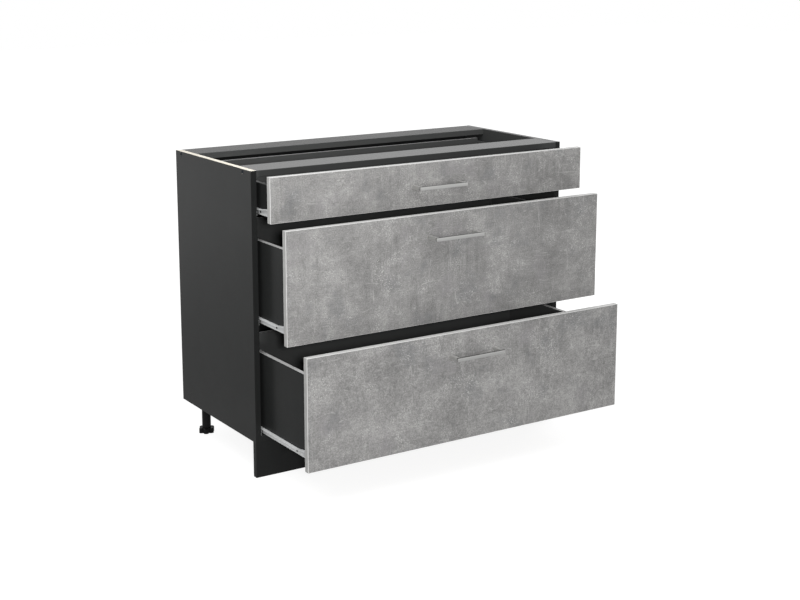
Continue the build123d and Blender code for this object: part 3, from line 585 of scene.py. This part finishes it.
def grained_finish(name, tone, scale, roughness, specular=0.5, depth=0.0001, spread=0.12):
    """Moulded plastic, nylon or paint with a fine grain."""
    made, net, shader = finish(name, specular=specular)
    place = net.place()
    grain = fine_grain(net, Vector=place, Scale=scale)["Height"]
    patch = cloud(net, Vector=place, Scale=28.0, Warp=0.01, Contrast=1.2)["Value"]
    net.join(net.tones(patch, tone, 1 - spread, 1 + spread), shader["Base Color"])
    net.join(net.spread(grain, roughness - 0.05, roughness + 0.07), shader["Roughness"])
    net.join(net.bump(grain, depth, 0.5), shader["Normal"])
    return made


def beech_finish(colours):
    """Beech with short dark rays along the dowel."""
    made, net, shader = finish("beech", specular=0.3)
    place = net.place()
    grain = drawn_lines(net, Vector=place, Stretch=(40.0, 900.0, 900.0), Contrast=1.5)["Value"]
    drawn = net.vector("MULTIPLY", place, (0.2, 1.0, 1.0))
    rays = flecks(net, Vector=drawn, Scale=900.0, Size=0.4, Share=0.3)["Mask"]
    wood = net.mix(grain, rgba(colours.beech_dark), rgba(colours.beech_pale))
    net.join(net.mix(net.times(rays, 0.4), wood, rgba(colours.beech_dark)), shader["Base Color"])
    net.join(net.spread(grain, 0.6, 0.75), shader["Roughness"])
    net.join(net.bump(grain, 0.0001), shader["Normal"])
    return made


def dress(material, *names):
    """Gives CAD nodes a finish."""
    for name in names:
        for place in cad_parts[name].material_slots:
            place.material = material


def per_level(*names):
    return [f"{name}_{level}" for name in names for level in LEVELS]


# Pieces

def new_piece(name, mesh, material, body, slot, *nodes):
    """A finished mesh as a piece that rides on a body and stands for CAD nodes."""
    mesh.materials.clear()
    mesh.materials.append(material)
    mesh.shade_smooth()
    mesh.set_sharp_from_angle(angle=SHARP_ANGLE)
    piece = bpy.data.objects.new(name, mesh)
    bpy.context.scene.collection.objects.link(piece)
    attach(piece, body)
    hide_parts(*nodes)
    return piece


def solids(node):
    """The corner points of each separate solid of a CAD node."""
    shell = bmesh.new()
    shell.from_mesh(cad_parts[node].data)
    bmesh.ops.remove_doubles(shell, verts=shell.verts, dist=SAME_POINT)
    shell.verts.ensure_lookup_table()
    reached, found = set(), []
    for first in shell.verts:
        if first.index in reached:
            continue
        reached.add(first.index)
        group, waiting = [], [first]
        while waiting:
            corner = waiting.pop()
            group.append(corner.co.copy())
            for edge in corner.link_edges:
                other = edge.other_vert(corner)
                if other.index not in reached:
                    reached.add(other.index)
                    waiting.append(other)
        found.append(group)
    shell.free()
    return found


def along(points, axis):
    """Lowest and highest place along an axis."""
    return min(p[axis] for p in points), max(p[axis] for p in points)


def screw_sizes(points, axis):
    """Seat, outward direction, and head radius, head height, shank radius and shank length."""
    low, high = along(points, axis)
    others = [i for i in range(3) if i != axis]
    middle = [sum(along(points, i)) / 2 for i in range(3)]

    def out(point):
        return math.hypot(*(point[i] - middle[i] for i in others))

    head_radius = max(out(p) for p in points)
    head = [p for p in points if out(p) > HEAD_RIM * head_radius]
    head_low, head_high = along(head, axis)
    sign = 1.0 if high - head_high < head_low - low else -1.0
    tip = low if sign > 0 else high
    seat = head_low if sign > 0 else head_high
    shank_radius = max((out(p) for p in points if abs(p[axis] - tip) < SAME_POINT), default=head_radius)
    foot = Vector(middle)
    foot[axis] = seat
    way = Vector((0.0, 0.0, 0.0))
    way[axis] = sign
    sizes = (head_radius, head_high - head_low, shank_radius, abs(seat - tip))
    return foot, way, tuple(round(value, DIGITS) for value in sizes)


def stud_tree(name, slotted=False, stemmed=False):
    """Geometry nodes that set a domed head, with a cross slot and a shank if asked, on every point."""
    net, given, out = new_group(name, {
        "Geometry": "Geometry", "Head radius": 0.003, "Head height": 0.001, "Shank radius": 0.002,
        "Shank length": 0.01, "Crown": 0.0005, "Slot length": 0.003, "Slot width": 0.001,
        "Slot depth": 0.001, "Sides": 28, "Finish": "Material"},
        {"Geometry": "Geometry"}, kind="GeometryNodeTree")
    height = given["Head height"]
    middle = net.times(height, 0.5)
    head = net.add("GeometryNodeMeshCylinder", {
        "Vertices": given["Sides"], "Side Segments": 1, "Fill Segments": 4,
        "Radius": given["Head radius"], "Depth": height}).outputs["Mesh"]
    shape = net.moved(head, net.point(Z=middle))
    x, y, z = net.split(net.add("GeometryNodeInputPosition").outputs[0])
    reach = net.sum("SQRT", net.sum("MULTIPLY_ADD", x, x, net.times(y, y)))
    reach = net.sum("DIVIDE", reach, given["Head radius"])
    sink = net.times(net.sum("POWER", reach, DOME_POWER), net.times(given["Crown"], -1.0))
    upper = net.sum("GREATER_THAN", z, middle)
    shape = net.pushed(shape, net.point(Z=net.times(sink, upper)))
    if slotted:
        long, wide = given["Slot length"], given["Slot width"]
        deep = net.times(given["Slot depth"], 2.0)
        cutter = net.add("GeometryNodeMeshBoolean", {"Mesh 1": shape}, operation="DIFFERENCE")
        for size in (net.point(X=long, Y=wide, Z=deep),
                     net.point(X=wide, Y=long, Z=net.times(deep, SECOND_SLOT))):
            bar = net.add("GeometryNodeMeshCube", {"Size": size}).outputs["Mesh"]
            net.tree.links.new(net.moved(bar, net.point(Z=height)), cutter.inputs["Mesh 2"])
        shape = cutter.outputs["Mesh"]
    joined = net.add("GeometryNodeJoinGeometry")
    net.tree.links.new(shape, joined.inputs[0])
    if stemmed:
        shank, root = given["Shank length"], net.times(height, SHANK_ROOT)
        stem = net.add("GeometryNodeMeshCylinder", {
            "Vertices": 16, "Side Segments": 5, "Fill Segments": 1, "Radius": given["Shank radius"],
            "Depth": net.sum("ADD", shank, root)}).outputs["Mesh"]
        stem = net.moved(stem, net.point(Z=net.times(net.sum("SUBTRACT", root, shank), 0.5)))
        end = net.sum("LESS_THAN", z, net.times(shank, -POINT_FROM))
        narrow = net.times(end, -POINT_TAPER)
        stem = net.pushed(stem, net.point(X=net.times(x, narrow), Y=net.times(y, narrow)))
        net.tree.links.new(stem, joined.inputs[0])
    way = net.add("GeometryNodeInputNamedAttribute", {"Name": "way"}, data_type="FLOAT_VECTOR")
    turn = net.add("FunctionNodeAlignRotationToVector", {"Vector": way.outputs[0]}, axis="Z")
    placed = net.add("GeometryNodeInstanceOnPoints", {
        "Points": given["Geometry"], "Instance": joined.outputs[0], "Rotation": turn.outputs[0]})
    real = net.add("GeometryNodeRealizeInstances", {"Geometry": placed.outputs[0]}).outputs[0]
    dressed = net.add("GeometryNodeSetMaterial", {"Geometry": real, "Material": given["Finish"]})
    net.join(dressed.outputs[0], out["Geometry"])
    return net.tree


def run_tree(tree, seats, values):
    """Sets a tree on points with directions and gives the plain mesh that it makes."""
    points = bpy.data.meshes.new("seats")
    points.from_pydata([seat for seat, _ in seats], [], [])
    ways = points.attributes.new("way", "FLOAT_VECTOR", "POINT")
    for index, (_, way) in enumerate(seats):
        ways.data[index].vector = way
    holder = bpy.data.objects.new("seats", points)
    bpy.context.scene.collection.objects.link(holder)
    modifier = holder.modifiers.new("Set", "NODES")
    modifier.node_group = tree
    for item in tree.interface.items_tree:
        if item.item_type == "SOCKET" and item.in_out == "INPUT" and item.name in values:
            modifier[item.identifier] = values[item.name]
    bpy.context.view_layer.update()
    evaluated = holder.evaluated_get(bpy.context.evaluated_depsgraph_get())
    mesh = bpy.data.meshes.new_from_object(evaluated)
    holder.modifiers.remove(modifier)
    bpy.data.objects.remove(holder)
    bpy.data.meshes.remove(points)
    return mesh


def merged(meshes):
    """Several meshes as one, without the slivers that a cut leaves."""
    whole = bmesh.new()
    for mesh in meshes:
        whole.from_mesh(mesh)
        bpy.data.meshes.remove(mesh)
    bmesh.ops.remove_doubles(whole, verts=whole.verts, dist=SLIVER)
    bmesh.ops.dissolve_degenerate(whole, edges=whole.edges, dist=SLIVER)
    made = bpy.data.meshes.new("merged")
    whole.to_mesh(made)
    whole.free()
    return made


def set_studs(tree, node, axis, body, slot, material, sizes):
    """Puts screws, pins or caps where a CAD node has its fasteners, in place of that node."""
    alike = {}
    for points in solids(node):
        seat, way, measures = screw_sizes(points, axis)
        alike.setdefault(measures, []).append((seat, way))
    meshes = []
    for (head_radius, head, shank_radius, shank), seats in sorted(alike.items()):
        crown = sizes.cap_crown if slot == "cap_plastic" else head * sizes.crown
        slot_length = 2 * head_radius * sizes.slot_share
        values = {"Head radius": head_radius, "Head height": head, "Shank radius": shank_radius,
                  "Shank length": shank, "Crown": crown, "Slot length": slot_length,
                  "Slot width": slot_length * sizes.slot_width, "Slot depth": head * sizes.slot_depth,
                  "Finish": material}
        meshes.append(run_tree(tree, seats, values))
    return new_piece(node + "_set", merged(meshes), material, body, slot, node)


def handle_mesh(low, high, sizes):
    """A flat bar on two legs, with rounded outer corners and eased edges; marks the legs' faces."""
    leg, corner = sizes.handle_leg, sizes.handle_corner
    bar_rear = low.y + sizes.handle_bar
    outline = [(high.x, high.y), (high.x - leg, high.y), (high.x - leg, bar_rear),
               (low.x + leg, bar_rear), (low.x + leg, high.y), (low.x, high.y)]
    for centre, start in ((low.x + corner, math.pi), (high.x - corner, 1.5 * math.pi)):
        for step in range(CORNER_STEPS + 1):
            turn = start + 0.5 * math.pi * step / CORNER_STEPS
            outline.append((centre + corner * math.cos(turn), low.y + corner + corner * math.sin(turn)))
    shell = bmesh.new()
    floor = shell.faces.new([shell.verts.new((x, y, low.z)) for x, y in outline])
    raised = bmesh.ops.extrude_face_region(shell, geom=[floor])["geom"]
    bmesh.ops.translate(shell, vec=(0.0, 0.0, high.z - low.z),
                        verts=[part for part in raised if isinstance(part, bmesh.types.BMVert)])
    bmesh.ops.recalc_face_normals(shell, faces=shell.faces)
    bmesh.ops.bisect_plane(shell, geom=[*shell.verts, *shell.edges, *shell.faces], dist=SAME_POINT,
                           plane_co=(0.0, bar_rear, 0.0), plane_no=(0.0, 1.0, 0.0))
    sharp = [edge for edge in shell.edges if edge.calc_face_angle(0.0) > EASED_ANGLE
             and min(v.co.y for v in edge.verts) < high.y - SAME_POINT]
    bmesh.ops.bevel(shell, geom=sharp, offset=sizes.handle_ease, segments=EASE_STEPS, profile=0.5,
                    affect="EDGES")
    mesh = bpy.data.meshes.new("handle")
    shell.to_mesh(mesh)
    shell.free()
    legs = mesh.attributes.new("leg", "FLOAT", "FACE")
    legs.data.foreach_set("value", [float(face.center.y > bar_rear) for face in mesh.polygons])
    return mesh


# Studio

def seen(net):
    """Two masks: what the camera sees straight, and what it sees in a gloss or through glass."""
    path = net.add("ShaderNodeLightPath").outputs
    return path["Is Camera Ray"], net.sum("MAXIMUM", path["Is Glossy Ray"], path["Is Transmission Ray"])


def lay_floor(stage):
    """A wide pale floor that keeps the shadow and fades into the white backdrop."""
    half = stage.floor_size / 2
    mesh = bpy.data.meshes.new("floor")
    corners = ((-half, -half), (half, -half), (half, half), (-half, half))
    mesh.from_pydata([(x, y, -FLOOR_DROP) for x, y in corners], [], [(0, 1, 2, 3)])
    made = bpy.data.materials.new("floor")
    made.use_nodes = True
    made.node_tree.nodes.clear()
    net = Net(made.node_tree)
    straight, mirrored = seen(net)
    away = net.add("ShaderNodeVectorMath", {0: net.place()}, operation="LENGTH").outputs["Value"]
    away = net.ramp(away, *FLOOR_FADE)
    in_view = net.sum("MAXIMUM", straight, mirrored)
    tone = net.mix(in_view, rgba([FLOOR_LIT] * 3), rgba([FLOOR_SEEN] * 3))
    matt = net.add("ShaderNodeBsdfDiffuse", {"Color": tone}).outputs[0]
    glow = net.sum("MULTIPLY_ADD", straight, net.blend(away, *GLOW),
                   net.times(mirrored, net.blend(away, *MIRRORED_GLOW)))
    glow = net.add("ShaderNodeEmission", {"Strength": glow}).outputs[0]
    both = net.add("ShaderNodeAddShader", {0: matt, 1: glow}).outputs[0]
    net.add("ShaderNodeOutputMaterial", {"Surface": both})
    mesh.materials.append(made)
    floor = bpy.data.objects.new("floor", mesh)
    bpy.context.scene.collection.objects.link(floor)


def light_sky(scene, strength):
    """Even light from all round, which the camera sees as a white backdrop."""
    world = bpy.data.worlds.new("sky")
    world.use_nodes = True
    scene.world = world
    net = Net(world.node_tree)
    backdrop = world.node_tree.nodes["Background"].inputs
    net.join(net.blend(net.sum("MAXIMUM", *seen(net)), strength, 1.0), backdrop["Strength"])
    backdrop["Color"].default_value = (1.0, 1.0, 1.0, 1.0)


def hang_lamp(name, place, size, energy):
    """A soft square lamp that points at the cabinet and leaves no glare on it."""
    lamp = bpy.data.lights.new(name, "AREA")
    lamp.size, lamp.energy = size, energy
    holder = bpy.data.objects.new(name, lamp)
    holder.location, holder.visible_glossy = place, False
    holder.rotation_euler = (LAMP_AIM - Vector(place)).to_track_quat("-Z", "Y").to_euler()
    bpy.context.scene.collection.objects.link(holder)


# Operators

class CABINET_OT_boards(bpy.types.Operator):
    """Give the carcass boards their melamine, edge bands and raw edges, with painted light on the inner
    faces and the rails' front faces
    """

    bl_idname = "cabinet.boards"
    bl_label = "Carcass boards"

    def execute(self, context):
        colours = context.scene.cabinet_colours
        # painted light: the sides' inner faces and the bottom take the lighter inside tone
        outer, inner = (0.0, colours.inside), (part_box("bottom_panel")[1].x + INNER_SKIN, colours.inside)
        front = FRONTWARD, colours.edge_band
        for side, top in (("left", 1.0), ("right", 0.0)):
            dress(board_finish(f"{side}_side_board", colours, inner, front, specular=0.085,
                               Up=top, Down=1.0, Rear=1.0), f"side_panel_{side}")
        dress(board_finish("shelf_board", colours, inner, front, specular=0.09, Rear=1.0),
              "bottom_panel")
        # painted light: the rails' front faces take the lighter inside tones
        dress(board_finish("front_rail_board", colours, outer, (FRONTWARD, colours.inside),
                           specular=0.175, Rear=1.0), "front_top_rail")
        dress(board_finish("rear_rail_board", colours, outer, (FRONTWARD, colours.lit_box_inside),
                           specular=0.03, Rear=1.0), "rear_top_rail")
        dress(board_finish("plinth_board", colours, outer, front, specular=0.06), "plinth_panel")
        dress(thin_board_finish(colours), "back_panel", *per_level("drawer_bottom"))
        dress(beech_finish(colours), "wood_dowels")
        return {"FINISHED"}


class CABINET_OT_drawer_fronts(bpy.types.Operator):
    """Give each drawer front its concrete decor and pale edging"""

    bl_idname = "cabinet.drawer_fronts"
    bl_label = "Drawer fronts"

    def execute(self, context):
        colours, sizes = context.scene.cabinet_colours, context.scene.cabinet_sizes
        for name in per_level("drawer_front"):
            low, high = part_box(name)
            dress(concrete_finish(name, colours, low, high, sizes.edging), name)
        return {"FINISHED"}


class CABINET_OT_drawer_boxes(bpy.types.Operator):
    """Give the drawer boxes their melamine, with painted light inside them and painted shade on the upper
    sides' top edging, and the fittings their zinc
    """

    bl_idname = "cabinet.drawer_boxes"
    bl_label = "Drawer boxes"

    def execute(self, context):
        colours = context.scene.cabinet_colours
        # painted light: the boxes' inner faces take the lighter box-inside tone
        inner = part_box("drawer_back_top")[1].x + INNER_SKIN, colours.lit_box_inside
        sides = per_level("drawer_side_left", "drawer_side_right")
        dress(board_finish("box_board", colours, inner, (UPWARD, colours.box_edging),
                           specular=0.06, Down=1.0), *sides, *per_level("drawer_back"))
        # painted shade: the upper drawer's sides get the dark copy of the top edging
        dress(board_finish("upper_box_board", colours, inner, (UPWARD, colours.shaded_edging),
                           specular=0.06, Down=1.0), *(name for name in sides if name.endswith("top")))
        zinc = steel_finish("zinc", colours.zinc, stretch=(900.0, 900.0, 900.0), roughness=0.38,
                            blotch=0.7)
        dress(zinc, "rail_screws", "bottom_cam_fittings", *per_level("front_cam_fittings"))
        return {"FINISHED"}


class CABINET_OT_runners(bpy.types.Operator):
    """Give the runners their paint and the rollers their nylon"""

    bl_idname = "cabinet.runners"
    bl_label = "Runners and rollers"

    def execute(self, context):
        colours = context.scene.cabinet_colours
        dress(grained_finish("runner_paint", colours.runner_paint, scale=500.0, roughness=0.38,
                             specular=0.4, depth=0.00005, spread=0.05),
              *per_level("cabinet_runners", "drawer_runners"))
        dress(grained_finish("nylon", colours.nylon, scale=700.0, roughness=0.45,
                             specular=0.4, depth=0.00005, spread=0.05),
              *per_level("front_rollers", "rear_rollers"))
        return {"FINISHED"}


class CABINET_OT_legs(bpy.types.Operator):
    """Give the legs, feet, sockets and plinth clips their moulded black plastic"""

    bl_idname = "cabinet.legs"
    bl_label = "Legs and clips"

    def execute(self, context):
        plastic = grained_finish("black_plastic", context.scene.cabinet_colours.plastic,
                                 scale=900.0, roughness=0.42, specular=0.14)
        dress(plastic, "leg_sockets", "leg_tubes", "plinth_clips",
              *(f"foot_{corner}" for corner in CORNERS))
        return {"FINISHED"}


class CABINET_OT_bar_handles(bpy.types.Operator):
    """Build the three bar handles with eased edges"""

    bl_idname = "cabinet.bar_handles"
    bl_label = "Bar handles"

    def execute(self, context):
        colours, sizes = context.scene.cabinet_colours, context.scene.cabinet_sizes
        # painted shade on the bars' upper faces and painted light on their legs
        steel = steel_finish("brushed_bar", colours.bar_steel, stretch=(5.0, 1100.0, 1100.0),
                             roughness=0.46, shade=paint_handle_light_and_shade)
        for level in LEVELS:
            low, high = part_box(f"handle_{level}")
            new_piece(f"bar_handle_{level}", handle_mesh(low, high, sizes), steel,
                      f"{level}_drawer", "brushed_bar", f"handle_{level}")
        return {"FINISHED"}


class CABINET_OT_fasteners(bpy.types.Operator):
    """Set cross-slotted screws, pins and cover caps where the fasteners are"""

    bl_idname = "cabinet.fasteners"
    bl_label = "Screws, pins and caps"

    def execute(self, context):
        colours, sizes = context.scene.cabinet_colours, context.scene.cabinet_sizes
        screws = stud_tree("Cross-slotted screws", slotted=True, stemmed=True)
        pins, caps = stud_tree("Pins", stemmed=True), stud_tree("Domed caps")
        zinc = bpy.data.materials["zinc"]
        black = grained_finish("black_screw", colours.screw_black, scale=1500.0, roughness=0.4)
        cap = grained_finish("cap_plastic", colours.cap, scale=1100.0, roughness=0.45, specular=0.02)
        set_studs(screws, "cabinet_runner_screws", 0, "carcass", "plated_steel", zinc, sizes)
        set_studs(pins, "back_panel_pins", 1, "carcass", "plated_steel", zinc, sizes)
        for level in LEVELS:
            drawer = f"{level}_drawer"
            set_studs(screws, f"drawer_screws_{level}", 0, drawer, "black_screw", black, sizes)
            set_studs(screws, f"handle_screws_{level}", 1, drawer, "plated_steel", zinc, sizes)
        set_studs(caps, "screw_caps", 0, "carcass", "cap_plastic", cap, sizes)
        return {"FINISHED"}


class CABINET_OT_stage(bpy.types.Operator):
    """Set the floor, the lights and the camera"""

    bl_idname = "cabinet.stage"
    bl_label = "Studio"

    def execute(self, context):
        scene, stage = context.scene, context.scene.cabinet_stage
        scene.view_settings.view_transform = "Standard"
        lay_floor(stage)
        light_sky(scene, stage.sky)
        for name, place, size in LAMPS:
            hang_lamp(f"{name}_light", place, size, getattr(stage, f"{name}_power"))
        eye = bpy.data.cameras.new("camera")
        eye.lens, eye.shift_y, eye.clip_end = stage.lens, stage.shift, 100.0
        camera = bpy.data.objects.new("camera", eye)
        camera.location = stage.eye
        camera.rotation_euler = Euler((math.pi / 2 - stage.pitch, 0.0, -stage.yaw))
        scene.collection.objects.link(camera)
        scene.camera = camera
        return {"FINISHED"}


STEPS = (CABINET_OT_boards, CABINET_OT_drawer_fronts, CABINET_OT_drawer_boxes, CABINET_OT_runners,
         CABINET_OT_legs, CABINET_OT_bar_handles, CABINET_OT_fasteners, CABINET_OT_stage)
GROUPS = {"cabinet_colours": CabinetColours, "cabinet_sizes": CabinetSizes,
          "cabinet_stage": CabinetStage}


class VIEW3D_PT_cabinet(bpy.types.Panel):
    """Steps that build the cabinet, and the values that they use"""

    bl_label = "Kitchen base cabinet"
    bl_space_type = "VIEW_3D"
    bl_region_type = "UI"
    bl_category = "Cabinet"

    def draw(self, context):
        for step in STEPS:
            self.layout.operator(step.bl_idname)
        for holder in GROUPS:
            group, box = getattr(context.scene, holder), self.layout.box()
            for name in group.__annotations__:
                box.prop(group, name)


def register():
    for name, group in GROUPS.items():
        bpy.utils.register_class(group)
        setattr(bpy.types.Scene, name, PointerProperty(type=group))
    for item in (*STEPS, VIEW3D_PT_cabinet):
        bpy.utils.register_class(item)


def unregister():
    for item in (VIEW3D_PT_cabinet, *reversed(STEPS)):
        bpy.utils.unregister_class(item)
    for name, group in GROUPS.items():
        delattr(bpy.types.Scene, name)
        bpy.utils.unregister_class(group)


def main():
    register()
    bpy.ops.cabinet.boards()
    bpy.ops.cabinet.drawer_fronts()
    bpy.ops.cabinet.drawer_boxes()
    bpy.ops.cabinet.runners()
    bpy.ops.cabinet.legs()
    bpy.ops.cabinet.bar_handles()
    bpy.ops.cabinet.fasteners()
    bpy.ops.cabinet.stage()


if __name__ == "__main__":
    main()
